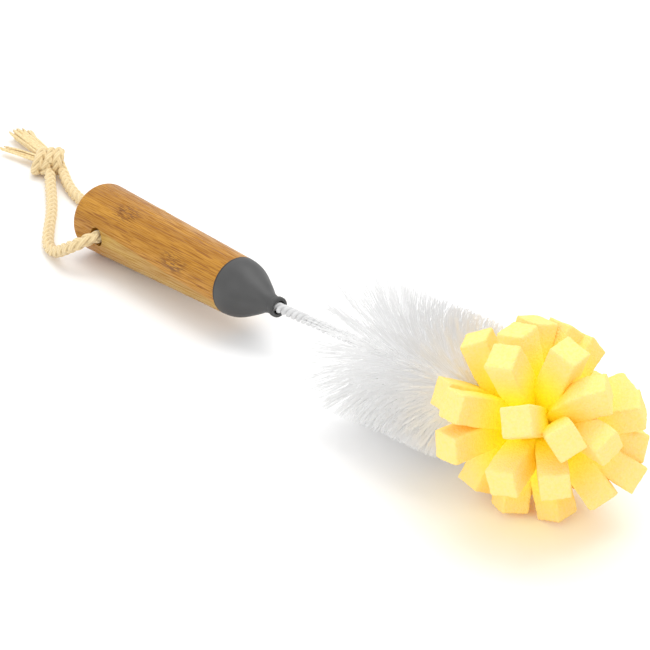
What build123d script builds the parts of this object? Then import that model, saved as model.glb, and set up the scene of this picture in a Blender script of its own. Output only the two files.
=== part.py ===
from build123d import *
import os
from math import cos, radians, sin, tan

# Bottle brush lying on a table: a turned bamboo handle with a cord loop at its rear,
# a dark plastic ferrule, a stem of twisted coated wire, a round nylon brush and a
# ball of foam fingers at the tip.
#
# Millimetres, +Z up. The table is z = 0, +X points from the handle to the foam ball,
# and the origin is under the middle of the brush. The handle lies on its rear edge and
# rises a little to the front. The stem rises a few degrees more from the ferrule's mouth.

# ---- handle and ferrule ----
handle_length = 101.4  # joint with the ferrule to the middle of the domed end
handle_rear_diameter = 30.0
handle_front_diameter = 24.0
handle_dome = 5.5  # height of the domed end
handle_pitch = 2.6  # degrees, rising to the front
hole_diameter = 8.0
hole_from_joint = 80.0  # along the handle's axis
ferrule_length = 27.2
spigot_diameter = 10.0
spigot_length = 15.0
glue_gap = 1.0  # behind the spigot's end
lip_diameter = 8.2
neck_diameter = 7.2
mouth_diameter = 5.6
mouth_depth = 2.4

# ---- stem ----
wire_diameter = 2.1  # one coated wire; the stem is two legs of it, twisted
twist_pitch = 6.2
stem_pitch = 5.6  # degrees, rising to the tip
stem_in_ferrule = 22.0
stem_length = 154.0  # ferrule's mouth to the end of the twist
leg_gap = 0.02  # between the two legs, across the axis
socket_gap = 0.02  # round the twisted pair, in the ferrule
eye_width = 4.8  # the fold at the tip, to the middle of the wire
eye_length = 5.0

# ---- nylon brush, measured along the stem from the ferrule's mouth ----
brush_radius = 25.2
brush_start = 52.0
brush_shoulder = 108.0  # the front face slopes from here to brush_end
brush_end = 122.5
brush_bevel = 1.5

# ---- foam ball ----
ball_centre = 142.0  # along the stem from the mouth
finger_width = 10.0
finger_root_width = 2.6
finger_root_thickness = 1.4
neck_radius = 4.2
neck_thickness = 1.6
neck_step = 1.75  # from one strip's neck to the next along the stem
first_neck = 11.0  # the front strip's neck, from the ball's centre
foam_gap = 0.3  # round the wire

# Each strip is one bar of foam held at its middle, so it has two fingers. A finger is
# (angle from the stem's direction, turn about the stem from straight up towards -Y,
# twist about its own middle line, reach from the ball's centre).
strips = [
    ((4, 20, 45, 35.5), (42, -136, 10, 36.5)),
    ((30, 66, 50, 35.5), (47, -111, 0, 35.5)),
    ((34, 1, 15, 35.0), (43, -168, 10, 35.5)),
    ((36, 111, -10, 35.0), (37, -71, 0, 35.5)),
    ((60, 60, 27, 35.5), (70, -112, 0, 33.5)),
    ((62, 97, 0, 35.0), (74, -78, 20, 34.5)),
    ((62, 1, 10, 35.0), (80, 180, 30, 34.4)),
    ((86, 30, 20, 35.0), (93, -57, 0, 33.5)),
    ((99, 6, 10, 33.5), (82, -145, 0, 34.0)),
    ((103, 66, 0, 35.0), (98, -115, 0, 34.5)),
    ((100, -38, 0, 34.0), (98, 160, 20, 34.2)),
    ((107, 91, 0, 35.0), (102, -88, 0, 34.0)),
    ((105, -16, 0, 34.0), (110, -170, 20, 33.8)),
    ((122, -60, 0, 33.0), (122, 146, 0, 34.0)),
    ((129, 15, 0, 33.0), (120, -140, 0, 34.0)),
    ((134, 62, 0, 33.0), (128, -100, 0, 33.0)),
    ((136, -25, 0, 32.0), (134, 172, 0, 32.0)),
]

# ---- cord loop, knot and frayed tails ----
cord_diameter = 5.4
cord_in_hole_half = 12.5  # the straight stretch inside the handle, each side of the middle
near_route = [
    (-133.2, -12.5, 15.7),
    (-133.2, -18.2, 15.7),
    (-136.4, -22.0, 13.6),
    (-144.0, -22.2, 9.4),
    (-154.5, -22.0, 4.0),
    (-162.0, -19.6, 2.7),
    (-174.0, -12.6, 2.8),
    (-194.0, 0.8, 2.7),
    (-214.0, 12.4, 2.7),
    (-228.0, 20.6, 3.6),
]
far_route = [
    (-133.2, 12.5, 15.7),
    (-133.2, 18.4, 15.7),
    (-136.6, 22.0, 14.2),
    (-144.5, 22.6, 11.6),
    (-158.0, 20.2, 7.2),
    (-174.0, 16.6, 3.4),
    (-192.0, 15.6, 2.7),
    (-210.0, 19.6, 2.7),
    (-226.5, 26.6, 3.6),
]
knot_centre = (-237.5, 26.2, 7.0)
knot_half_length = 12.0
knot_radius = 6.95
knot_heading = 155.0  # degrees about +Z, the way the tails leave it
tuft_root = (-247.0, 29.0, 5.6)
tuft_end = (-282.0, 36.8, 2.6)
wisp_root = (-246.5, 27.2, 4.6)
wisp_end = (-268.0, 18.6, 1.8)

# ---- the axes that everything hangs on ----
near_side = Vector(0, -1, 0)
joint_point = Vector(-53.3, 0, 19.35)
handle_way = Vector(cos(radians(handle_pitch)), 0, sin(radians(handle_pitch)))
stem_way = Vector(cos(radians(stem_pitch)), 0, sin(radians(stem_pitch)))
stem_up = Vector(-sin(radians(stem_pitch)), 0, cos(radians(stem_pitch)))
mouth_point = joint_point + handle_way * ferrule_length
hole_point = joint_point - handle_way * hole_from_joint
handle_axis = Axis(joint_point, handle_way)
stem_axis = Axis(mouth_point, stem_way)
handle_side = Plane(origin=joint_point, x_dir=handle_way, z_dir=near_side)
joint_face = Plane(origin=joint_point, x_dir=near_side, z_dir=handle_way)
mouth_face = Plane(origin=mouth_point, x_dir=near_side, z_dir=handle_way)
stem_side = Plane(origin=mouth_point, x_dir=stem_way, z_dir=near_side)
hole_plane = Plane(origin=hole_point, x_dir=(1, 0, 0), z_dir=near_side)


def stem_face(distance):
    """The plane across the stem at a distance from the ferrule's mouth."""
    return Plane(origin=mouth_point + stem_way * distance, x_dir=near_side, z_dir=stem_way)


# ---- handle: one turned piece of bamboo, bored for the spigot and for the cord ----
rear_radius = handle_rear_diameter / 2
front_radius = handle_front_diameter / 2
dome_start = handle_dome - handle_length
quarter_round = 0.552  # a cubic's handles, as a share of the radius, for a quarter ellipse
with BuildPart() as handle:
    with BuildSketch(handle_side):
        with BuildLine():
            Polyline(
                (-handle_length, 0),
                (0, 0),
                (0, front_radius),
                (dome_start, rear_radius),
            )
            Bezier(
                (dome_start, rear_radius),
                (dome_start - quarter_round * handle_dome, rear_radius),
                (-handle_length, quarter_round * rear_radius),
                (-handle_length, 0),
            )
        make_face()
    revolve(axis=handle_axis)
    with BuildSketch(joint_face):
        Circle(spigot_diameter / 2)
    extrude(amount=-(spigot_length + glue_gap), mode=Mode.SUBTRACT)
    with BuildSketch(hole_plane):
        Circle(hole_diameter / 2)
    extrude(amount=handle_rear_diameter, both=True, mode=Mode.SUBTRACT)
handle.part.label = "bamboo_handle"

# ---- ferrule: a moulded bell with a spigot, socketed for the twisted wire ----
lip_radius = lip_diameter / 2
neck_radius_ferrule = neck_diameter / 2
neck_at = ferrule_length - 3.0
lip_at = ferrule_length - 2.0
lip_round = 0.4
socket_radius = wire_diameter + leg_gap / 2 + socket_gap
with BuildPart() as ferrule:
    with BuildSketch(handle_side):
        with BuildLine():
            Spline(
                (0, front_radius),
                (5.5, 11.2),
                (11.0, 8.9),
                (17.0, 5.9),
                (neck_at, neck_radius_ferrule),
                tangents=((1, -0.03), (1, -0.1)),
            )
            Polyline(
                (neck_at, neck_radius_ferrule),
                (lip_at, lip_radius - lip_round),
                (lip_at + lip_round, lip_radius),
                (ferrule_length - lip_round, lip_radius),
                (ferrule_length, lip_radius - lip_round),
                (ferrule_length, 0),
                (-spigot_length, 0),
                (-spigot_length, spigot_diameter / 2),
                (0, spigot_diameter / 2),
                (0, front_radius),
            )
        make_face()
    revolve(axis=handle_axis)
    with BuildSketch(mouth_face):
        Circle(mouth_diameter / 2)
    extrude(amount=-mouth_depth, mode=Mode.SUBTRACT)
    with BuildSketch(stem_face(-stem_in_ferrule)):
        Circle(socket_radius)
    extrude(amount=stem_in_ferrule + mouth_depth, mode=Mode.SUBTRACT)
ferrule.part.label = "ferrule"


# ---- stem: one coated wire folded in half at the tip and twisted left-handed ----
leg_radius = (wire_diameter + leg_gap) / 2
twist_start = mouth_point - stem_way * stem_in_ferrule
twist_end = mouth_point + stem_way * stem_length
with BuildPart() as wire_leg_a:
    with BuildLine() as leg_path:
        Helix(
            twist_pitch,
            stem_in_ferrule + stem_length,
            leg_radius,
            center=twist_start,
            direction=stem_way,
            lefthand=True,
        )
    with BuildSketch(Plane(origin=leg_path.line @ 0, z_dir=leg_path.line % 0)):
        Circle(wire_diameter / 2)
    sweep(path=leg_path.line, is_frenet=True)
wire_leg_b = wire_leg_a.part.rotate(stem_axis, 180)
wire_leg_a.part.label = "stem_wire_leg_a"
wire_leg_b.label = "stem_wire_leg_b"

eye_across = (leg_path.line @ 1 - twist_end).normalized()
eye_plane = Plane(origin=twist_end, x_dir=eye_across, z_dir=stem_way)
eye_side = Plane(origin=twist_end, x_dir=eye_across, z_dir=eye_across.cross(stem_way))
half_eye = eye_width / 2
with BuildPart() as wire_eye:
    with BuildLine(eye_side) as eye_path:
        FilletPolyline(
            (leg_radius, -0.6),
            (leg_radius, 0.3),
            (half_eye, 1.9),
            (half_eye, eye_length),
            (-half_eye, eye_length),
            (-half_eye, 1.9),
            (-leg_radius, 0.3),
            (-leg_radius, -0.6),
            radius=[0.6, 1.1, 2.2, 2.2, 1.1, 0.6],
        )
    with BuildSketch(Plane(origin=eye_path.line @ 0, z_dir=eye_path.line % 0)):
        Circle(wire_diameter / 2)
    sweep(path=eye_path.line)
wire_eye.part.label = "stem_wire_eye"

# ---- nylon brush: the outer shape of all its filaments, open round the wire ----
with BuildPart() as bristles:
    with BuildSketch(stem_side):
        with BuildLine():
            Polyline(
                (brush_start, socket_radius),
                (brush_start, brush_radius - brush_bevel),
                (brush_start + brush_bevel, brush_radius),
                (brush_shoulder, brush_radius),
                (brush_end, socket_radius),
                close=True,
            )
        make_face()
    revolve(axis=stem_axis)
bristles.part.label = "nylon_bristles"


# ---- foam ball: bars of foam nipped at the middle between the two legs of the wire ----
def finger_planes(neck_centre, finger):
    """The planes of a finger's root and tip, both square to its middle line."""
    tilt, turn, twist, reach = finger
    outward = stem_up * cos(radians(turn)) + near_side * sin(radians(turn))
    way = stem_way * cos(radians(tilt)) + outward * sin(radians(tilt))
    tip = mouth_point + stem_way * ball_centre + way * reach
    root = neck_centre + outward * (neck_radius - 1)
    middle_line = (tip - root).normalized()
    across = stem_way.cross(middle_line)
    root_face = Plane(origin=root, x_dir=across, z_dir=middle_line)
    tip_face = Plane(origin=tip, x_dir=across, z_dir=middle_line).rotated((0, 0, twist))
    return root_face, tip_face


def foam_strip(number, fingers):
    """One bar of foam: a crushed neck round the wire and a finger out of each side."""
    station = ball_centre + first_neck - neck_step * number
    with BuildPart() as strip:
        with BuildSketch(stem_face(station)):
            Circle(neck_radius)
        extrude(amount=neck_thickness / 2, both=True)
        for finger in fingers:
            root_face, tip_face = finger_planes(stem_face(station).origin, finger)
            with BuildSketch(root_face.rotated((0, 0, finger[2]))):
                Rectangle(finger_root_width, finger_root_thickness)
            with BuildSketch(tip_face):
                Rectangle(finger_width, finger_width)
            loft()
        with BuildSketch(stem_face(brush_end)):
            Circle(socket_radius + foam_gap)
        extrude(amount=stem_length - brush_end + 0.5, mode=Mode.SUBTRACT)
        with BuildSketch(eye_plane):
            Rectangle(eye_width + wire_diameter + foam_gap, wire_diameter + foam_gap)
        extrude(amount=eye_length + wire_diameter, mode=Mode.SUBTRACT)
        with BuildSketch(Plane.XY):
            Rectangle(600, 200)
        extrude(amount=-20, mode=Mode.SUBTRACT)
    strip.part.label = f"foam_strip_{number + 1:02d}"
    return strip.part


foam_strips = [foam_strip(number, fingers) for number, fingers in enumerate(strips)]


# ---- cord: through the handle, round and back to the knot ----
def cord_tube(points, label):
    """A tube of straight runs and arcs. Each arc is as large as its two runs allow."""
    route = [Vector(*point) for point in points]
    radii = []
    for before, corner, after in zip(route, route[1:], route[2:]):
        run_in = corner - before
        run_out = after - corner
        half_turn = radians(run_in.get_angle(run_out)) / 2
        radii.append(0.45 * min(run_in.length, run_out.length) / tan(half_turn))
    with BuildPart() as tube:
        with BuildLine() as path:
            FilletPolyline(*route, radius=radii)
        with BuildSketch(Plane(origin=path.line @ 0, z_dir=path.line % 0)):
            Circle(cord_diameter / 2)
        sweep(path=path.line)
    tube.part.label = label
    print(label, f"is {path.wire().length:.1f} mm long")
    return tube.part


near_limb = cord_tube(near_route, "cord_near_limb")
far_limb = cord_tube(far_route, "cord_far_limb")

cord_middle = Plane(
    origin=(near_route[0][0], 0, near_route[0][2]),
    x_dir=(1, 0, 0),
    z_dir=near_side,
)
with BuildPart() as cord_in_hole:
    with BuildSketch(cord_middle):
        Circle(cord_diameter / 2)
    extrude(amount=cord_in_hole_half, both=True)
cord_in_hole.part.label = "cord_in_hole"

# ---- knot: both ends of the cord tied together ----
knot_way = Vector(cos(radians(knot_heading)), sin(radians(knot_heading)), 0)
knot_side = Plane(origin=knot_centre, x_dir=knot_way, z_dir=knot_way.cross(Vector(0, 0, 1)))
with BuildPart() as knot:
    with BuildSketch(knot_side):
        with BuildLine():
            EllipticalCenterArc((0, 0), knot_half_length, knot_radius, 0, arc_size=180)
            Line((-knot_half_length, 0), (knot_half_length, 0))
        make_face()
    revolve(axis=Axis(knot_centre, knot_way))
knot.part.label = "cord_knot"


def frayed_tail(root, end, root_size, end_size, label):
    """A frayed end: a flat broom that widens from the knot and lies on the table."""
    root_point = Vector(*root)
    end_point = Vector(*end)
    way = end_point - root_point
    across = way.cross(Vector(0, 0, 1))
    with BuildPart() as tail:
        with BuildSketch(Plane(origin=root_point, x_dir=across, z_dir=way)):
            Ellipse(*root_size)
        with BuildSketch(Plane(origin=end_point, x_dir=across, z_dir=way)):
            Ellipse(*end_size)
        loft()
    tail.part.label = label
    return tail.part


tuft = frayed_tail(tuft_root, tuft_end, (3.0, 2.4), (5.4, 2.2), "frayed_tuft")
wisp = frayed_tail(wisp_root, wisp_end, (2.0, 1.6), (2.2, 1.2), "frayed_wisp")

# ---- write every piece ----
pieces = [handle.part, ferrule.part, wire_leg_a.part, wire_leg_b, wire_eye.part, bristles.part]
pieces += foam_strips
pieces += [cord_in_hole.part, near_limb, far_limb, knot.part, tuft, wisp]
os.makedirs("parts", exist_ok=True)
for piece in pieces:
    export_step(piece, f"parts/{piece.label}.step")
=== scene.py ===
import math
import random
from math import cos, pi, radians, sin

import bmesh
import bpy
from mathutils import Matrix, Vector, noise


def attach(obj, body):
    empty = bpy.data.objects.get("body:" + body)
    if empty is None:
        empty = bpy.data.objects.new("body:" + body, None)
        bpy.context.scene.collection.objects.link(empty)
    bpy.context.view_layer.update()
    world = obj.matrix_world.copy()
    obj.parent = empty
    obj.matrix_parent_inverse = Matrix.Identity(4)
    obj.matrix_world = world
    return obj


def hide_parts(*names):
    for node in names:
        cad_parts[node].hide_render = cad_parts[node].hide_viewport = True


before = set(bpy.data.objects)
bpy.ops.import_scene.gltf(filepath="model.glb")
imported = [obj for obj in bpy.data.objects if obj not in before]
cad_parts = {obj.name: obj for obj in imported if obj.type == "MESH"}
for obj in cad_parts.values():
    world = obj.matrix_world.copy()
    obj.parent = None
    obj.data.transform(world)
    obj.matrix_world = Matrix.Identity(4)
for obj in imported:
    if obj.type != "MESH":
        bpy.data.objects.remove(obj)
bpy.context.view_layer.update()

# A bottle brush lying on a table. Metres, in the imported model's frame: +X runs from the
# handle to the foam ball, -Y is the near side and the table is z = 0.

# ---- handle ----
# One piece of laminated bamboo, turned to a long taper with a domed end, sanded and given
# a thin satin lacquer. It is bored across for the cord and along its axis for the ferrule.
MM = 0.001
handle_pitch = radians(2.6)
handle_joint = Vector((-53.3, 0, 19.35)) * MM
handle_way = Vector((cos(handle_pitch), 0, sin(handle_pitch)))
glue_slope = 0.094
# the growth nodes: place along, across and up from the joint, in millimetres
growth_places = [(-67.0, -6.5, 12.5), (-27.0, -12.0, 5.0), (-48.0, 9.0, -9.5)]


def linear(hex_colour):
    """An sRGB hex colour as the linear colour that a shader takes."""
    channels = [int(hex_colour[i : i + 2], 16) / 255 for i in (1, 3, 5)]
    return [c / 12.92 if c <= 0.04045 else ((c + 0.055) / 1.055) ** 2.4 for c in channels] + [1]


def finish_named(name):
    """A new material with its principled shader."""
    material = bpy.data.materials.new(name)
    material.use_nodes = True
    return material, material.node_tree.nodes["Principled BSDF"]


def feed(material, made, links):
    """Gives a node's sockets a value, a hex colour or another node's output."""
    for socket, value in links.items():
        if isinstance(value, bpy.types.NodeSocket):
            material.node_tree.links.new(value, made.inputs[socket])
        elif isinstance(value, str):
            made.inputs[socket].default_value = linear(value)
        else:
            made.inputs[socket].default_value = value


def add(material, kind, links, output=0, **settings):
    """Adds a shader node with its links and settings, and gives one of its outputs.

    A Mix of colours takes its factor at 0 and its colours at 6 and 7, and gives output 2.
    """
    made = material.node_tree.nodes.new("ShaderNode" + kind)
    for name, value in settings.items():
        setattr(made, name, value)
    feed(material, made, links)
    return made.outputs[output]


def paint(node_names, material):
    """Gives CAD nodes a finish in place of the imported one."""
    for name in node_names:
        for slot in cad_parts[name].material_slots:
            slot.material = material


# Lacquered laminated bamboo: honey brown with long dark fibre bundles, a paler strip below
# the glue line and growth nodes where the fibres break up into short dark dashes.
bamboo, bamboo_shader = finish_named("lacquered_laminated_bamboo")
bamboo_place = add(bamboo, "TexCoord", {}, "Object")
along_handle = add(
    bamboo,
    "Mapping",
    {"Vector": bamboo_place, "Location": handle_joint, "Rotation": (0, -handle_pitch, 0)},
    vector_type="TEXTURE",
)


def fibre_streaks(length, width, detail, shift, low, high):
    """Streaks along the handle, that long and wide in millimetres, where the noise is high."""
    stretched = add(
        bamboo,
        "Mapping",
        {
            "Vector": along_handle,
            "Location": (shift, 0, 0),
            "Scale": (1 / (length * MM), 1 / (width * MM), 1 / (width * MM)),
        },
    )
    cloud = add(
        bamboo,
        "TexNoise",
        {"Vector": stretched, "Scale": 1.0, "Detail": detail, "Roughness": 0.55},
    )
    return add(
        bamboo,
        "MapRange",
        {"Value": cloud, "From Min": low, "From Max": high},
        interpolation_type="SMOOTHSTEP",
    )


# the glue line slopes a little against the axis, and the paler strip ends before the dome
place_along = add(bamboo, "SeparateXYZ", {0: along_handle}, "X")
place_up = add(bamboo, "SeparateXYZ", {0: along_handle}, "Z")
slope = add(bamboo, "Math", {0: place_along, 1: glue_slope}, operation="MULTIPLY")
over_glue_line = add(bamboo, "Math", {0: place_up, 1: slope}, operation="ADD")
below_glue_line = add(
    bamboo,
    "MapRange",
    {"Value": over_glue_line, "From Min": -3.2 * MM, "From Max": -3.8 * MM},
    interpolation_type="SMOOTHSTEP",
)
off_the_rear = add(
    bamboo,
    "MapRange",
    {"Value": place_along, "From Min": -86 * MM, "From Max": -76 * MM},
    interpolation_type="SMOOTHSTEP",
)
lower_strip = add(bamboo, "Math", {0: below_glue_line, 1: off_the_rear}, operation="MULTIPLY")
near_growth = 0.0
for growth_place in growth_places:
    away = add(
        bamboo,
        "VectorMath",
        {0: along_handle, 1: Vector(growth_place) * MM},
        operation="SUBTRACT",
    )
    squeezed = add(bamboo, "VectorMath", {0: away, 1: (0.5, 1.0, 1.0)}, operation="MULTIPLY")
    reach = add(bamboo, "VectorMath", {0: squeezed}, "Value", operation="LENGTH")
    growth = add(
        bamboo,
        "MapRange",
        {"Value": reach, "From Min": 5.5 * MM, "From Max": 2.0 * MM},
        interpolation_type="SMOOTHSTEP",
    )
    near_growth = add(bamboo, "Math", {0: near_growth, 1: growth}, operation="MAXIMUM")

broad_tone = fibre_streaks(60, 5.0, 2, 3.0, 0.35, 0.65)
honey = add(bamboo, "Mix", {0: broad_tone, 6: "#AA7419", 7: "#BE8728"}, 2, data_type="RGBA")
pale_tone = fibre_streaks(50, 3.0, 2, 7.0, 0.35, 0.65)
pale = add(bamboo, "Mix", {0: pale_tone, 6: "#AC8238", 7: "#BA9648"}, 2, data_type="RGBA")
ground = add(bamboo, "Mix", {0: lower_strip, 6: honey, 7: pale}, 2, data_type="RGBA")
fine_fibres = fibre_streaks(42, 0.36, 2, 0.0, 0.46, 0.62)
fibre_share = add(bamboo, "Math", {0: fine_fibres, 1: 0.5}, operation="MULTIPLY")
fibred = add(bamboo, "Mix", {0: fibre_share, 6: ground, 7: "#8C540C"}, 2, data_type="RGBA")
bundles = fibre_streaks(30, 0.5, 1, 11.0, 0.55, 0.63)
above_strip = add(bamboo, "Math", {0: 1.0, 1: lower_strip}, operation="SUBTRACT")
bundles_above = add(bamboo, "Math", {0: bundles, 1: above_strip}, operation="MULTIPLY")
bundle_share = add(bamboo, "Math", {0: bundles_above, 1: 0.7}, operation="MULTIPLY")
bundled = add(bamboo, "Mix", {0: bundle_share, 6: fibred, 7: "#80480A"}, 2, data_type="RGBA")
dashes = fibre_streaks(3.6, 0.32, 0, 5.0, 0.5, 0.56)
growth_dashes = add(bamboo, "Math", {0: dashes, 1: near_growth}, operation="MULTIPLY")
dash_share = add(bamboo, "Math", {0: growth_dashes, 1: 0.75}, operation="MULTIPLY")
dashed = add(bamboo, "Mix", {0: dash_share, 6: bundled, 7: "#5C2E08"}, 2, data_type="RGBA")
fibre_relief = add(
    bamboo, "Bump", {"Height": fine_fibres, "Strength": 0.12, "Distance": 0.15 * MM}, invert=True
)
bamboo_gloss = add(
    bamboo,
    "MapRange",
    {"Value": fine_fibres, "From Min": -1.2, "From Max": 1.6, "To Max": 0.9},
    interpolation_type="SMOOTHSTEP",
)
feed(
    bamboo,
    bamboo_shader,
    {
        "Base Color": dashed,
        "Normal": fibre_relief,
        "Roughness": bamboo_gloss,
        "IOR": 1.5,
        "Specular IOR Level": 0.3,
        "Coat Weight": 0.12,
        "Coat Roughness": 0.25,
    },
)
paint(["bamboo_handle"], bamboo)

# ---- ferrule ----
# A bell of injection-moulded polypropylene, dark grey, glued into the handle by its spigot.
# It narrows to a neck and ends in a small lip round the mouth, where the wire goes in.
ferrule_length = 27.2 * MM
mould_grain = 0.4 * MM  # drawn coarser than the real grain, which is too fine to show
flow_mark = 11.111 * MM

# Satin moulded polypropylene: a fine spark-eroded grain that blurs every reflection, faint
# flow marks, and a thin dark line of shadow where the bell meets the bamboo.
plastic, plastic_shader = finish_named("satin_moulded_polypropylene")
plastic_place = add(plastic, "TexCoord", {}, "Object")
along_ferrule = add(
    plastic,
    "Mapping",
    {"Vector": plastic_place, "Location": handle_joint, "Rotation": (0, -handle_pitch, 0)},
    vector_type="TEXTURE",
)
grain = add(plastic, "TexNoise", {"Vector": plastic_place, "Scale": 1 / mould_grain, "Detail": 2})
flow = add(plastic, "TexNoise", {"Vector": plastic_place, "Scale": 1 / flow_mark, "Detail": 2})
flow_share = add(
    plastic,
    "MapRange",
    {"Value": flow, "From Min": 0.3, "From Max": 0.7},
    interpolation_type="SMOOTHSTEP",
)
greys = add(plastic, "Mix", {0: flow_share, 6: "#3B3B3B", 7: "#434343"}, 2, data_type="RGBA")
from_joint = add(plastic, "SeparateXYZ", {0: along_ferrule}, "X")
joint_shadow = add(
    plastic,
    "MapRange",
    {"Value": from_joint, "From Min": 0.9 * MM, "From Max": 0.5 * MM},
    interpolation_type="SMOOTHSTEP",
)
shadowed = add(plastic, "Mix", {0: joint_shadow, 6: greys, 7: "#24211E"}, 2, data_type="RGBA")
grain_relief = add(
    plastic, "Bump", {"Height": grain, "Strength": 0.15, "Distance": 0.05 * MM}
)
feed(
    plastic,
    plastic_shader,
    {
        "Base Color": shadowed,
        "Normal": grain_relief,
        "Roughness": 0.5,
        "IOR": 1.49,
    },
)
paint(["ferrule"], plastic)

# ---- stem ----
# One steel wire in a white plastic coat, folded in half at the tip and twisted left-handed
# on a winding machine, so that it grips the nylon and the foam between its two legs.
stem_pitch = radians(5.6)
stem_way = Vector((cos(stem_pitch), 0, sin(stem_pitch)))
stem_up = Vector((-sin(stem_pitch), 0, cos(stem_pitch)))
stem_mouth = handle_joint + handle_way * ferrule_length
drawing_mark = 2.5 * MM

# Glossy extruded polyamide coat: white, smooth, with very faint drawing marks.
coat, coat_shader = finish_named("white_extruded_polyamide_coat")
coat_place = add(coat, "TexCoord", {}, "Object")
wear = add(coat, "TexNoise", {"Vector": coat_place, "Scale": 1 / drawing_mark, "Detail": 3})
wear_share = add(
    coat,
    "MapRange",
    {"Value": wear, "From Min": 0.3, "From Max": 0.7},
    interpolation_type="SMOOTHSTEP",
)
coat_whites = add(coat, "Mix", {0: wear_share, 6: "#C2C2C2", 7: "#D2D2D2"}, 2, data_type="RGBA")
coat_relief = add(coat, "Bump", {"Height": wear, "Strength": 0.1, "Distance": 0.05 * MM})
feed(
    coat,
    coat_shader,
    {
        "Base Color": coat_whites,
        "Normal": coat_relief,
        "Roughness": 0.35,
        "IOR": 1.53,
    },
)
paint(["stem_wire_leg_a", "stem_wire_leg_b", "stem_wire_eye"], coat)

# ---- nylon brush ----
# Some thousands of clear white nylon filaments, gripped at their middles by the twisted
# wire. The machine trims them to a cylinder. At the rear they lean back in loose tufts.
near_side = Vector((0, -1, 0))
filament_count = 5200
filament_radius = 0.14 * MM  # real ones are about 0.1
filament_taper = 0.35
filament_steps = 5
brush_radius = 26.6 * MM
wire_cover = 1.2 * MM  # a filament comes out of the wire there
first_root = 60.0 * MM  # along the stem from the ferrule's mouth
last_root = 118.0 * MM
rear_from = 58 * MM
rear_to = 86 * MM
front_trim = 11 * MM
wire_twist = 6.2 * MM
tuft_spacing = wire_twist / 2
tuft_angle = 0.30
rear_lean = 15.5 * MM
loose_lean = 0.9 * MM
tuft_lean = 2.2 * MM
lowest_filament = 0.4 * MM
random.seed(11)


def stem_point(station):
    """The place on the stem's axis that far from the ferrule's mouth."""
    return stem_mouth + stem_way * station


def outward(turn):
    """Square to the stem, at that angle from straight up towards the near side."""
    return stem_up * cos(turn) + near_side * sin(turn)


def smooth(value, low, high):
    """0 below low, 1 above high, and smooth between them."""
    share = min(max((value - low) / (high - low), 0), 1)
    return share * share * (3 - 2 * share)


def filament(root, root_turn):
    """The points down one filament, from the wire to its tip."""
    rear = 1 - smooth(root, rear_from, rear_to)
    row = round(root / tuft_spacing)
    tuft_turn = (round(root_turn / tuft_angle) + 0.5 * (row % 2)) * tuft_angle
    gather = 0.35 + 0.45 * rear
    tip_turn = root_turn + (tuft_turn - root_turn) * gather + random.gauss(0, 0.05)
    tip_root = root + (row * tuft_spacing - root) * gather
    lean = -(rear**1.1) * rear_lean + random.gauss(0, loose_lean)
    lean += tuft_lean * noise.noise(Vector((tuft_turn * 1.7, row * 0.37, 0.0)))
    # the foremost ones are cut shorter, and the rear ones are left a little longer
    trim = min(1.0, 0.45 + 0.55 * (last_root - root) / front_trim)
    length = brush_radius * trim * (1 + 0.06 * rear - 0.04 * random.random())
    points = []
    for step in range(filament_steps + 1):
        share = step / filament_steps
        turn = root_turn + (tip_turn - root_turn) * share
        radius = wire_cover + (length - wire_cover) * share
        station = root + (tip_root - root) * share + lean * share**1.6
        point = stem_point(station) + outward(turn) * radius
        point.z = max(point.z, lowest_filament)
        points.append(point)
    return points


def filament_tubes(name, lines):
    """One mesh of closed three-sided tubes along the lines."""
    corners = []
    faces = []
    for line in lines:
        first = len(corners)
        way = (line[-1] - line[0]).normalized()
        across = way.orthogonal().normalized()
        other = way.cross(across)
        for number, point in enumerate(line):
            thick = filament_radius * (1 - filament_taper * number / filament_steps)
            for side in range(3):
                angle = 2 * pi * side / 3
                corners.append(point + (across * cos(angle) + other * sin(angle)) * thick)
        for ring in range(filament_steps):
            low = first + ring * 3
            for side in range(3):
                after = (side + 1) % 3
                faces.append((low + side, low + after, low + 3 + after, low + 3 + side))
        last = first + filament_steps * 3
        faces.append((first + 2, first + 1, first))
        faces.append((last, last + 1, last + 2))
    mesh = bpy.data.meshes.new(name)
    mesh.from_pydata(corners, [], faces)
    made = bpy.data.objects.new(name, mesh)
    bpy.context.scene.collection.objects.link(made)
    return made


filament_lines = []
for number in range(filament_count):
    even = (number + random.random()) / filament_count
    root = first_root + (last_root - first_root) * even**0.92
    half_turn = pi * (number % 2)
    root_turn = 2 * pi * root / wire_twist + half_turn + random.gauss(0, 0.9)
    root_turn = (root_turn + pi) % (2 * pi) - pi
    filament_lines.append(filament(root, root_turn))
bristles = filament_tubes("nylon_filaments", filament_lines)

# Drawn nylon 6 filament: clear white, smooth and a little glossy. A painted glow makes it
# full white near the stem and light grey at the tips, for light carried through the mass.
nylon_cloud = 1.4286 * MM
painted_glow_to = 8 * MM  # out from the stem's axis
painted_glow_gone_from = 25 * MM
nylon, nylon_shader = finish_named("drawn_white_nylon")
nylon_place = add(nylon, "TexCoord", {}, "Object")
tone = add(nylon, "TexNoise", {"Vector": nylon_place, "Scale": 1 / nylon_cloud, "Detail": 1})
tone_share = add(
    nylon,
    "MapRange",
    {"Value": tone, "From Min": 0.3, "From Max": 0.7},
    interpolation_type="SMOOTHSTEP",
)
whites = add(nylon, "Mix", {0: tone_share, 6: "#FCFCFC", 7: "#FFFFFF"}, 2, data_type="RGBA")
from_mouth = add(nylon, "VectorMath", {0: nylon_place, 1: stem_mouth}, operation="SUBTRACT")
square_off = add(nylon, "VectorMath", {0: from_mouth, 1: stem_way}, operation="CROSS_PRODUCT")
off_stem = add(nylon, "VectorMath", {0: square_off}, "Value", operation="LENGTH")
# painted glow: full white near the stem's axis, fading to light grey towards the tips
painted_glow_fade = add(
    nylon,
    "MapRange",
    {"Value": off_stem, "From Min": painted_glow_to, "From Max": painted_glow_gone_from},
    interpolation_type="SMOOTHSTEP",
)
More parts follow.
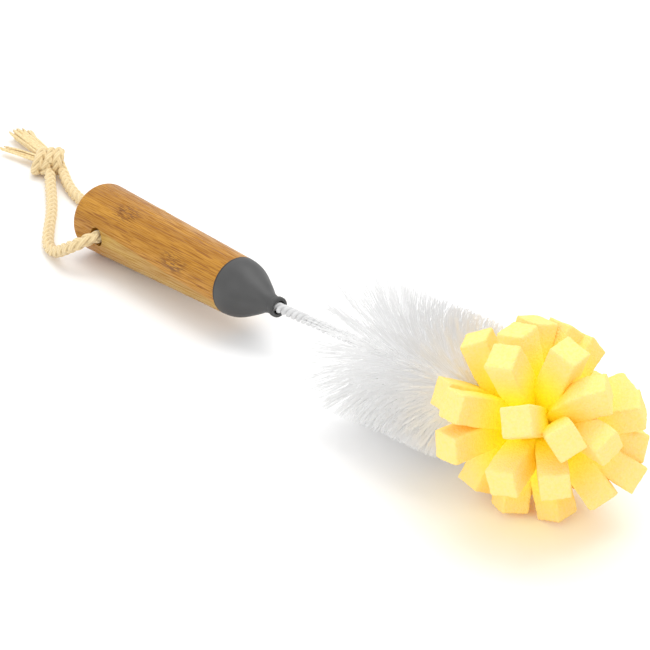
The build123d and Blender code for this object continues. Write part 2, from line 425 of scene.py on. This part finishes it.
glow_painted_nylon = add(nylon, "Mix", {0: painted_glow_fade, 6: whites, 7: "#E8E8E8"}, 2, data_type="RGBA")
feed(
    nylon,
    nylon_shader,
    {
        "Base Color": glow_painted_nylon,
        "Roughness": 0.5,
        "IOR": 1.53,
        "Specular IOR Level": 0.3,
    },
)
bristles.data.materials.append(nylon)
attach(bristles, "brush")
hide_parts("nylon_bristles")

# ---- foam ball ----
# Seventeen bars of open-cell polyurethane foam, sawn square and gripped at their middles by
# the last turns of the wire. Each bar springs out to two fingers, which form the ball.
ball_centre = 142.0 * MM  # along the stem from the ferrule's mouth
finger_half = 5.0 * MM
finger_root = 1.2 * MM  # off the stem's axis
bend_share = 0.55
neck_step = 1.75 * MM
first_neck = 11.0 * MM
neck_radius = 4.2 * MM
neck_share = 0.9  # of that radius, which the nipped foam keeps
neck_half = 0.8  # millimetres along the stem
foam_voxel = 0.5 * MM
lump_size = 6.25 * MM
lump_height = 0.3 * MM
grit_size = 2 / 3 * MM
grit_height = 0.12 * MM
lowest_foam = 0.3 * MM
noise.seed_set(11)  # so that the lumps and the grit are the same each run
# for each bar, its two fingers: angle from the stem's way, turn about the stem from
# straight up towards the near side, twist about its own middle line, all in degrees,
# and reach from the ball's centre in millimetres. A bent finger also has the angle and
# the turn of the way its tip points.
bars = [
    ((6, 37, 45, 35.5, 15, 176), (43, -135, 10, 37.4)),
    ((32, 62, 50, 35.5), (47, -111, 0, 35.5)),
    ((33, -11, 15, 35.0, 40, -70), (38, -172, 40, 34.6)),
    ((37, 110, -10, 35.0), (37, -71, 0, 35.5)),
    ((60, 60, 27, 35.5), (70, -112, 0, 33.5)),
    ((65, 102, 0, 35.0), (73, -84, 20, 34.5)),
    ((62, 1, 10, 35.0), (79, -177, -8, 34.2)),
    ((86, 30, 20, 35.0), (94, -53, 0, 33.5)),
    ((99, 6, 10, 33.5), (82, -145, 0, 34.0)),
    ((103, 66, 0, 35.0), (98, -115, 0, 34.5)),
    ((100, -38, 0, 34.0), (101, 166, 20, 33.8)),
    ((103, 91, 0, 35.0), (102, -88, 0, 34.0)),
    ((105, -16, 0, 34.0), (110, -170, 20, 33.8)),
    ((122, -60, 0, 33.0), (122, 154, 0, 34.0)),
    ((127, 16, 35, 35.0), (120, -140, 0, 34.0)),
    ((133, 65, 0, 34.0), (128, -100, 0, 33.0)),
    ((136, -25, 0, 32.0), (134, 172, 0, 32.0)),
]
# a finger's half width as a share of the bar's, from its neck to its tip
finger_shape = [
    (0.0, 0.42),
    (0.12, 0.62),
    (0.25, 0.82),
    (0.4, 0.95),
    (0.6, 1.0),
    (0.8, 1.0),
    (1.0, 1.0),
]


def add_box(shell, rings):
    """Adds a closed square tube through rings of four points each."""
    loops = [[shell.verts.new(point) for point in ring] for ring in rings]
    for low, high in zip(loops, loops[1:]):
        for side in range(4):
            after = (side + 1) % 4
            shell.faces.new((low[side], low[after], high[after], high[side]))
    shell.faces.new(loops[0][::-1])
    shell.faces.new(loops[-1])


def finger_rings(neck_centre, finger):
    """Square rings down a finger, along an arc from the neck to the tip."""
    tilt, turn, twist = (radians(angle) for angle in finger[:3])
    way = stem_way * cos(tilt) + outward(turn) * sin(tilt)
    tip = stem_point(ball_centre) + way * finger[3] * MM
    root = neck_centre + outward(turn) * finger_root
    bend = (root + tip) / 2
    middle = (tip - root).normalized()
    if len(finger) > 4:
        end_tilt, end_turn = (radians(angle) for angle in finger[4:])
        middle = stem_way * cos(end_tilt) + outward(end_turn) * sin(end_tilt)
        bend = tip - middle * (tip - root).length * bend_share
    across = stem_way.cross(middle).normalized()
    other = middle.cross(across)
    first = across * cos(twist) + other * sin(twist)
    square = [(-1, -1), (1, -1), (1, 1), (-1, 1)]
    rings = []
    for share, size in finger_shape:
        half = finger_half * size
        centre = root * (1 - share) ** 2 + bend * 2 * share * (1 - share) + tip * share**2
        middle = ((bend - root) * (1 - share) + (tip - bend) * share).normalized()
        first = (first - middle * first.dot(middle)).normalized()
        second = middle.cross(first)
        rings.append([centre + first * half * u + second * half * v for u, v in square])
    return rings


# Reticulated yellow polyurethane foam, with pores of about half a millimetre all over. Its
# colour is painted shade: deep egg yellow near the ball's centre, paling to chalky tips.
pore = 0.625 * MM
mottle_size = 1.1111 * MM
shade_deep_to = 14 * MM  # out from the ball's centre
shade_gone_from = 33 * MM
foam, foam_shader = finish_named("sawn_polyurethane_foam")
foam_place = add(foam, "TexCoord", {}, "Object")
from_centre = add(
    foam, "VectorMath", {0: foam_place, 1: stem_point(ball_centre)}, "Value", operation="DISTANCE"
)
pores = add(foam, "TexVoronoi", {"Vector": foam_place, "Scale": 1 / pore, "Randomness": 1.0})
mottle = add(foam, "TexNoise", {"Vector": foam_place, "Scale": 1 / mottle_size, "Detail": 3})
# painted shade: the yellow deepens towards the ball's centre, where the fingers shade each other
painted_depth_shade = add(
    foam,
    "MapRange",
    {"Value": from_centre, "From Min": shade_deep_to, "From Max": shade_gone_from},
    interpolation_type="SMOOTHSTEP",
)
depth_shaded_yellows = add(foam, "Mix", {0: painted_depth_shade, 6: "#FFF832", 7: "#FDDE90"}, 2, data_type="RGBA")
speck = add(
    foam,
    "MapRange",
    {"Value": mottle, "From Min": 0.35, "From Max": 0.75, "To Max": 0.35},
    interpolation_type="SMOOTHSTEP",
)
mottled = add(foam, "Mix", {0: speck, 6: depth_shaded_yellows, 7: "#FFDC50"}, 2, data_type="RGBA")
pore_relief = add(foam, "Bump", {"Height": pores, "Strength": 0.5, "Distance": 0.4 * MM})
feed(
    foam,
    foam_shader,
    {
        "Base Color": mottled,
        "Normal": pore_relief,
        "Roughness": 0.95,
        "IOR": 1.3,
        "Specular IOR Level": 0.2,
    },
)

for number, fingers in enumerate(bars):
    neck_centre = stem_point(ball_centre + first_neck - neck_step * number)
    shell = bmesh.new()
    for finger in fingers:
        add_box(shell, finger_rings(neck_centre, finger))
    neck_rings = []
    for end in (-neck_half, neck_half):
        ring = [
            neck_centre
            + outward(pi / 4 + pi / 2 * side) * neck_radius * neck_share
            + stem_way * end * MM
            for side in range(4)
        ]
        neck_rings.append(ring)
    add_box(shell, neck_rings)
    bmesh.ops.recalc_face_normals(shell, faces=shell.faces)
    mesh = bpy.data.meshes.new(f"foam_bar_{number + 1:02d}")
    shell.to_mesh(mesh)
    shell.free()
    bar = bpy.data.objects.new(mesh.name, mesh)
    bpy.context.scene.collection.objects.link(bar)
    # the remesh joins fingers and neck into one skin, and the smoothing rounds its edges
    remesh = bar.modifiers.new("remesh", "REMESH")
    remesh.mode = "VOXEL"
    remesh.voxel_size = foam_voxel
    soften = bar.modifiers.new("soften", "SMOOTH")
    soften.factor = 0.5
    soften.iterations = 7
    depsgraph = bpy.context.evaluated_depsgraph_get()
    settled = bpy.data.meshes.new_from_object(bar.evaluated_get(depsgraph))
    bar.modifiers.clear()
    bar.data = settled
    settled.name = bar.name
    for vertex in settled.vertices:
        lump = noise.noise_vector(vertex.co / lump_size) * lump_height
        grit = noise.noise_vector(vertex.co / grit_size) * grit_height
        point = vertex.co + lump + grit
        # the lowest fingers are squashed on the table
        point.z = max(point.z, lowest_foam)
        vertex.co = point
    settled.polygons.foreach_set("use_smooth", [True] * len(settled.polygons))
    settled.materials.clear()
    settled.materials.append(foam)
    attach(bar, "brush")
    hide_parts(f"foam_strip_{number + 1:02d}")

# ---- cord loop ----
# A round braid of cream cotton, eight strands, passed through the cross hole. Both ends are
# tied in one overhand knot and left to fray. The loop lies slack on the table.
cord_radius = 2.7 * MM
strands_each_way = 4
braid_pitch = 18.4 * MM  # one strand's full turn
strand_height = 1.1 * MM
weave_height = 0.5 * MM
ring_sides = 48
hole_steps = 80
near_route = [
    (-133.2, -12.5, 15.7),
    (-133.2, -18.2, 15.7),
    (-136.4, -22.4, 13.4),
    (-144.0, -23.6, 8.8),
    (-153.1, -23.1, 3.6),
    (-162.6, -20.9, 2.7),
    (-174.0, -13.6, 2.8),
    (-194.0, 0.8, 2.7),
    (-214.0, 12.4, 2.7),
    (-228.0, 20.6, 3.6),
    (-233.5, 23.6, 5.2),
]
far_route = [
    (-133.2, 12.5, 15.7),
    (-133.2, 18.4, 15.7),
    (-136.6, 22.0, 14.2),
    (-144.5, 22.6, 11.6),
    (-158.0, 20.2, 7.2),
    (-174.0, 16.6, 3.4),
    (-192.0, 15.6, 2.7),
    (-210.0, 19.6, 2.7),
    (-226.5, 26.6, 3.6),
    (-233.0, 28.6, 5.4),
]


def spline_points(route, closed=False):
    """The points along a smooth spline with the route's points as its control points."""
    curve = bpy.data.curves.new("route", "CURVE")
    curve.dimensions = "3D"
    curve.resolution_u = 48
    spline = curve.splines.new("NURBS")
    spline.points.add(len(route) - 1)
    for control, point in zip(spline.points, route):
        control.co = (*(Vector(point) * MM), 1)
    spline.order_u = 3
    spline.use_endpoint_u = not closed
    spline.use_cyclic_u = closed
    carrier = bpy.data.objects.new("route", curve)
    mesh = bpy.data.meshes.new_from_object(carrier)
    points = [vertex.co.copy() for vertex in mesh.vertices]
    bpy.data.objects.remove(carrier)
    bpy.data.curves.remove(curve)
    bpy.data.meshes.remove(mesh)
    return points


def braid_surface(turns, along):
    """The height of the braid over its core at a place, and the yarns' lay there."""
    first = strands_each_way * (turns - along / braid_pitch)
    second = strands_each_way * (turns + along / braid_pitch)
    best = None
    for across, crossing, sign in ((first, second, 1), (second, first, -1)):
        strand = math.floor(across)
        off_middle = 2 * (across - strand) - 1
        crown = math.sqrt(max(0, 1 - off_middle * off_middle))
        over = sign * cos(pi / 2 * (strand + crossing - 1))  # two over, two under
        height = strand_height * crown + weave_height * over
        if best is None or height > best[0]:
            best = (height, off_middle, crossing, strand * sign)
    return best


def braided_tube(name, line, closed=False):
    """A closed tube along the line, with the strands of the braid standing out of it."""
    core = cord_radius - strand_height - weave_height
    count = len(line)
    ways = []
    for number in range(count):
        if closed:
            way = line[(number + 1) % count] - line[number - 1]
        else:
            way = line[min(number + 1, count - 1)] - line[max(number - 1, 0)]
        ways.append(way.normalized())
    across = ways[0].orthogonal().normalized()
    corners = []
    lays = []
    along = 0.0
    for number, point in enumerate(line):
        across = (across - ways[number] * across.dot(ways[number])).normalized()
        other = ways[number].cross(across)
        if number:
            along += (point - line[number - 1]).length
        for side in range(ring_sides):
            turns = side / ring_sides
            height, off_middle, crossing, strand = braid_surface(turns, along)
            angle = 2 * pi * turns
            corners.append(point + (across * cos(angle) + other * sin(angle)) * (core + height))
            lays.append((off_middle, crossing, strand))
    faces = []
    for ring in range(count if closed else count - 1):
        low = ring * ring_sides
        high = (ring + 1) % count * ring_sides
        for side in range(ring_sides):
            after = (side + 1) % ring_sides
            faces.append((low + side, low + after, high + after, high + side))
    if not closed:
        faces.append(tuple(range(ring_sides - 1, -1, -1)))
        faces.append(tuple(range((count - 1) * ring_sides, count * ring_sides)))
    mesh = bpy.data.meshes.new(name)
    mesh.from_pydata(corners, [], faces)
    lay = mesh.attributes.new("lay", "FLOAT_VECTOR", "POINT")
    lay.data.foreach_set("vector", [value for triple in lays for value in triple])
    mesh.polygons.foreach_set("use_smooth", [True] * len(mesh.polygons))
    made = bpy.data.objects.new(name, mesh)
    bpy.context.scene.collection.objects.link(made)
    return made


near_line = spline_points(near_route)
far_line = spline_points(far_route)
near_limb = braided_tube("cord_near_braid", near_line)
far_limb = braided_tube("cord_far_braid", far_line)
hole_start = Vector(near_route[0]) * MM
hole_end = Vector(far_route[0]) * MM
hole_line = [hole_start.lerp(hole_end, step / hole_steps) for step in range(hole_steps + 1)]
hole_braid = braided_tube("cord_hole_braid", hole_line)

# Braided undyed cotton: cream, matt and a little fuzzy, each strand made of a few yarns that
# show as fine lines along it. Painted shade darkens it down between the strands.
cotton_fuzz = 0.5556 * MM
yarn_waves = 9.5  # radians of the wave from a strand's middle to its edge
cotton, cotton_shader = finish_named("braided_undyed_cotton")
lay_read = add(cotton, "Attribute", {}, "Vector", attribute_name="lay")
off_strand = add(cotton, "SeparateXYZ", {0: lay_read}, "X")
cotton_place = add(cotton, "TexCoord", {}, "Object")
fuzz = add(cotton, "TexNoise", {"Vector": cotton_place, "Scale": 1 / cotton_fuzz, "Detail": 3})
yarn_swing = add(cotton, "Math", {0: fuzz, 1: 0.5}, operation="MULTIPLY")
yarn_place = add(cotton, "Math", {0: off_strand, 1: yarn_swing}, operation="ADD")
yarn_phase = add(cotton, "Math", {0: yarn_place, 1: yarn_waves}, operation="MULTIPLY")
yarn_wave = add(cotton, "Math", {0: yarn_phase}, operation="SINE")
yarn_lines = add(
    cotton,
    "MapRange",
    {"Value": yarn_wave, "From Min": -1.0, "From Max": 1.0},
    interpolation_type="SMOOTHSTEP",
)
yarn_share = add(cotton, "Math", {0: yarn_lines, 1: 0.6}, operation="MULTIPLY")
creams = add(cotton, "Mix", {0: yarn_share, 6: "#E8D3A6", 7: "#CCB07C"}, 2, data_type="RGBA")
to_edge = add(cotton, "Math", {0: off_strand}, operation="ABSOLUTE")
# painted shade down in the grooves between the strands
painted_groove_shade = add(
    cotton,
    "MapRange",
    {"Value": to_edge, "From Min": 0.75, "From Max": 1.0, "To Max": 0.85},
    interpolation_type="SMOOTHSTEP",
)
groove_shaded_creams = add(cotton, "Mix", {0: painted_groove_shade, 6: creams, 7: "#9A7E4C"}, 2, data_type="RGBA")
yarn_relief = add(
    cotton, "Bump", {"Height": yarn_lines, "Strength": 0.4, "Distance": 0.2 * MM}, invert=True
)
feed(
    cotton,
    cotton_shader,
    {
        "Base Color": groove_shaded_creams,
        "Normal": yarn_relief,
        "Roughness": 0.9,
        "IOR": 1.5,
        "Sheen Weight": 0.3,
        "Sheen Roughness": 0.4,
    },
)

# ---- knot ----
# The overhand knot that joins the two ends: the doubled cord passes round itself, so wraps
# lie side by side, pulled tight and flattened, with the ends coming out behind them.
knot_middle = Vector((-234.2, 23.4, 6.9))
knot_across = Vector((0.62, 0.78, 0.0))
knot_deep = Vector((knot_across.y, -knot_across.x, 0))
wrap_corners = 8
spline_slack = 1.08  # a closed spline runs inside its control points
# each wrap's place across, half depth and half height in millimetres, and lean in degrees
wraps = [
    (-4.1, 4.5, 4.3, 22),
    (0.3, 5.0, 4.5, 24),
    (4.7, 4.6, 4.2, 12),
]
knot_parts = []
for number, (shift, depth, height, lean) in enumerate(wraps):
    rising = (Vector((0, 0, 1)) + knot_across * math.tan(radians(lean))).normalized()
    ring = []
    for corner in range(wrap_corners):
        angle = 2 * pi * corner / wrap_corners
        ring.append(
            knot_middle
            + knot_across * shift
            + knot_deep * depth * spline_slack * cos(angle)
            + rising * height * spline_slack * sin(angle)
        )
    knot_parts.append(braided_tube(f"wrap_{number}", spline_points(ring, closed=True), closed=True))
knot_mesh = bmesh.new()
for part in knot_parts:
    knot_mesh.from_mesh(part.data)
knot_data = bpy.data.meshes.new("cord_knot_wraps")
knot_mesh.to_mesh(knot_data)
knot_mesh.free()
for part in knot_parts:
    bpy.data.objects.remove(part)
knot = bpy.data.objects.new("cord_knot_wraps", knot_data)
bpy.context.scene.collection.objects.link(knot)

# ---- frayed ends ----
# Behind the knot the braid has come undone: soft single yarns, the longer lot spread wide
# on the table and a few in a thin wisp beside it.
yarn_sides = 6
yarn_rings = 15
most_swing = 0.5 * MM
yarn_gap = 0.2 * MM  # between a yarn and the table


def loose_yarns(name, root, end, root_size, end_size, count, radius, seed):
    """Soft yarns from the knot to the table, spread wider at their ends."""
    random.seed(seed)
    root = Vector(root) * MM
    end = Vector(end) * MM
    way = (end - root).normalized()
    across = way.cross(Vector((0, 0, 1))).normalized()
    up = across.cross(way)
    corners = []
    faces = []
    for yarn in range(count):
        angle = 2 * pi * random.random()
        spread = math.sqrt(random.random()) * 0.85
        u = cos(angle) * spread
        v = sin(angle) * spread
        reach = 0.8 + 0.2 * random.random()
        swing = [random.uniform(-most_swing, most_swing) for _ in range(4)]
        thick = radius * random.uniform(0.8, 1.15)
        first = len(corners)
        for ring in range(yarn_rings):
            share = ring / (yarn_rings - 1)
            far = share * reach
            wide = root_size[0] + (end_size[0] - root_size[0]) * far
            high = root_size[1] + (end_size[1] - root_size[1]) * far
            wave = swing[0] * sin(5 * far + yarn) + swing[1] * sin(9 * far)
            lift = swing[2] * sin(6 * far + 2 * yarn)
            centre = root + (end - root) * far + across * (u * wide * MM + wave * far)
            centre += up * (v * high * MM + lift * far)
            centre.z = max(centre.z, thick + yarn_gap)
            size = thick * (1 - 0.3 * smooth(share, 0.95, 1.0))
            for side in range(yarn_sides):
                turn = 2 * pi * side / yarn_sides + 3 * share
                corners.append(centre + (across * cos(turn) + up * sin(turn)) * size)
        for ring in range(yarn_rings - 1):
            low = first + ring * yarn_sides
            high = low + yarn_sides
            for side in range(yarn_sides):
                after = (side + 1) % yarn_sides
                faces.append((low + side, low + after, high + after, high + side))
        last = first + (yarn_rings - 1) * yarn_sides
        faces.append(tuple(range(first + yarn_sides - 1, first - 1, -1)))
        faces.append(tuple(range(last, last + yarn_sides)))
    mesh = bpy.data.meshes.new(name)
    mesh.from_pydata(corners, [], faces)
    mesh.polygons.foreach_set("use_smooth", [True] * len(mesh.polygons))
    made = bpy.data.objects.new(name, mesh)
    bpy.context.scene.collection.objects.link(made)
    return made


tuft = loose_yarns(
    "frayed_tuft_yarns", (-240, 27, 6.4), (-283, 36.8, 3.2), (3.4, 3.0), (5.8, 2.4), 60, 0.75 * MM, 5
)
wisp = loose_yarns(
    "frayed_wisp_yarns", (-240, 25.0, 5.0), (-270, 19.8, 3.2), (2.2, 1.8), (2.0, 1.0), 16, 0.6 * MM, 8
)

# Loose cotton yarn: the same undyed cotton, brighter where single yarns catch the light.
yarn_cloud = 1.1111 * MM
yarn, yarn_shader = finish_named("loose_undyed_cotton_yarn")
loose_place = add(yarn, "TexCoord", {}, "Object")
yarn_tone = add(yarn, "TexNoise", {"Vector": loose_place, "Scale": 1 / yarn_cloud, "Detail": 3})
yarn_lit = add(
    yarn,
    "MapRange",
    {"Value": yarn_tone, "From Min": 0.3, "From Max": 0.7},
    interpolation_type="SMOOTHSTEP",
)
yarn_creams = add(yarn, "Mix", {0: yarn_lit, 6: "#DCC088", 7: "#EEDAA8"}, 2, data_type="RGBA")
yarn_bump = add(yarn, "Bump", {"Height": yarn_tone, "Strength": 0.4, "Distance": 0.15 * MM})
feed(
    yarn,
    yarn_shader,
    {
        "Base Color": yarn_creams,
        "Normal": yarn_bump,
        "Roughness": 0.9,
        "IOR": 1.5,
        "Sheen Weight": 0.3,
        "Sheen Roughness": 0.4,
    },
)

for piece, material, node in (
    (near_limb, cotton, "cord_near_limb"),
    (far_limb, cotton, "cord_far_limb"),
    (hole_braid, cotton, "cord_in_hole"),
    (knot, cotton, "cord_knot"),
    (tuft, yarn, "frayed_tuft"),
    (wisp, yarn, "frayed_wisp"),
):
    piece.data.materials.append(material)
    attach(piece, "cord_loop")
    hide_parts(node)

# ---- table and light ----
# A plain white table top in a large soft tent of light, with one softbox behind and over
# the brush and one near the ball's end on the near side, as for a catalogue picture.
table_mesh = bpy.data.meshes.new("table_top")
table_mesh.from_pydata([(-4, -4, 0), (4, -4, 0), (4, 4, 0), (-4, 4, 0)], [], [(0, 1, 2, 3)])
table_top = bpy.data.objects.new("table_top", table_mesh)
bpy.context.scene.collection.objects.link(table_top)
# Matt white laminate, almost without texture.
laminate, laminate_shader = finish_named("matt_white_laminate")
table_place = add(laminate, "TexCoord", {}, "Object")
cloudy = add(laminate, "TexNoise", {"Vector": table_place, "Scale": 3.0})
cloud_share = add(
    laminate,
    "MapRange",
    {"Value": cloudy, "From Min": 0.3, "From Max": 0.7},
    interpolation_type="SMOOTHSTEP",
)
table_whites = add(
    laminate, "Mix", {0: cloud_share, 6: "#F6F6F6", 7: "#F8F8F8"}, 2, data_type="RGBA"
)
feed(laminate, laminate_shader, {"Base Color": table_whites, "Roughness": 0.8})
table_mesh.materials.append(laminate)

world = bpy.data.worlds.new("light_tent")
bpy.context.scene.world = world
world.use_nodes = True
world.node_tree.nodes["Background"].inputs["Color"].default_value = linear("#FFFFFF")
world.node_tree.nodes["Background"].inputs["Strength"].default_value = 1.0


def softbox(name, place, aim, size, power):
    """A rectangular lamp at a place, facing its aim, in metres and watts."""
    lamp_data = bpy.data.lights.new(name, "AREA")
    lamp_data.shape = "RECTANGLE"
    lamp_data.size, lamp_data.size_y = size
    lamp_data.energy = power
    lamp = bpy.data.objects.new(name, lamp_data)
    bpy.context.scene.collection.objects.link(lamp)
    lamp.location = place
    lamp.rotation_euler = (Vector(aim) - Vector(place)).to_track_quat("-Z", "Y").to_euler()


softbox("softbox_overhead", (-0.1, 0.4, 1.3), (0, 0, 0.03), (1.4, 1.0), 9)
softbox("softbox_near", (0.3, -1.1, 0.7), (0.02, 0, 0.03), (1.0, 0.7), 3)

# ---- camera ----
# A long lens beyond the foam ball on the near side, looking down along the brush, so that
# the ball is nearest and the handle runs away from it.
camera_data = bpy.data.cameras.new("camera")
camera_data.lens = 110.78
camera_data.sensor_width = 36.0
camera = bpy.data.objects.new("camera", camera_data)
bpy.context.scene.collection.objects.link(camera)
camera.location = (0.519185, -0.413465, 0.369103)
camera.rotation_euler = (radians(62.5085), 0, radians(51.3615))
bpy.context.scene.camera = camera
bpy.context.scene.view_settings.view_transform = "Standard"
# light has to pass many filaments before it leaves the white brush
bpy.context.scene.cycles.max_bounces = 24
bpy.context.scene.cycles.diffuse_bounces = 20
bpy.context.scene.cycles.transmission_bounces = 16
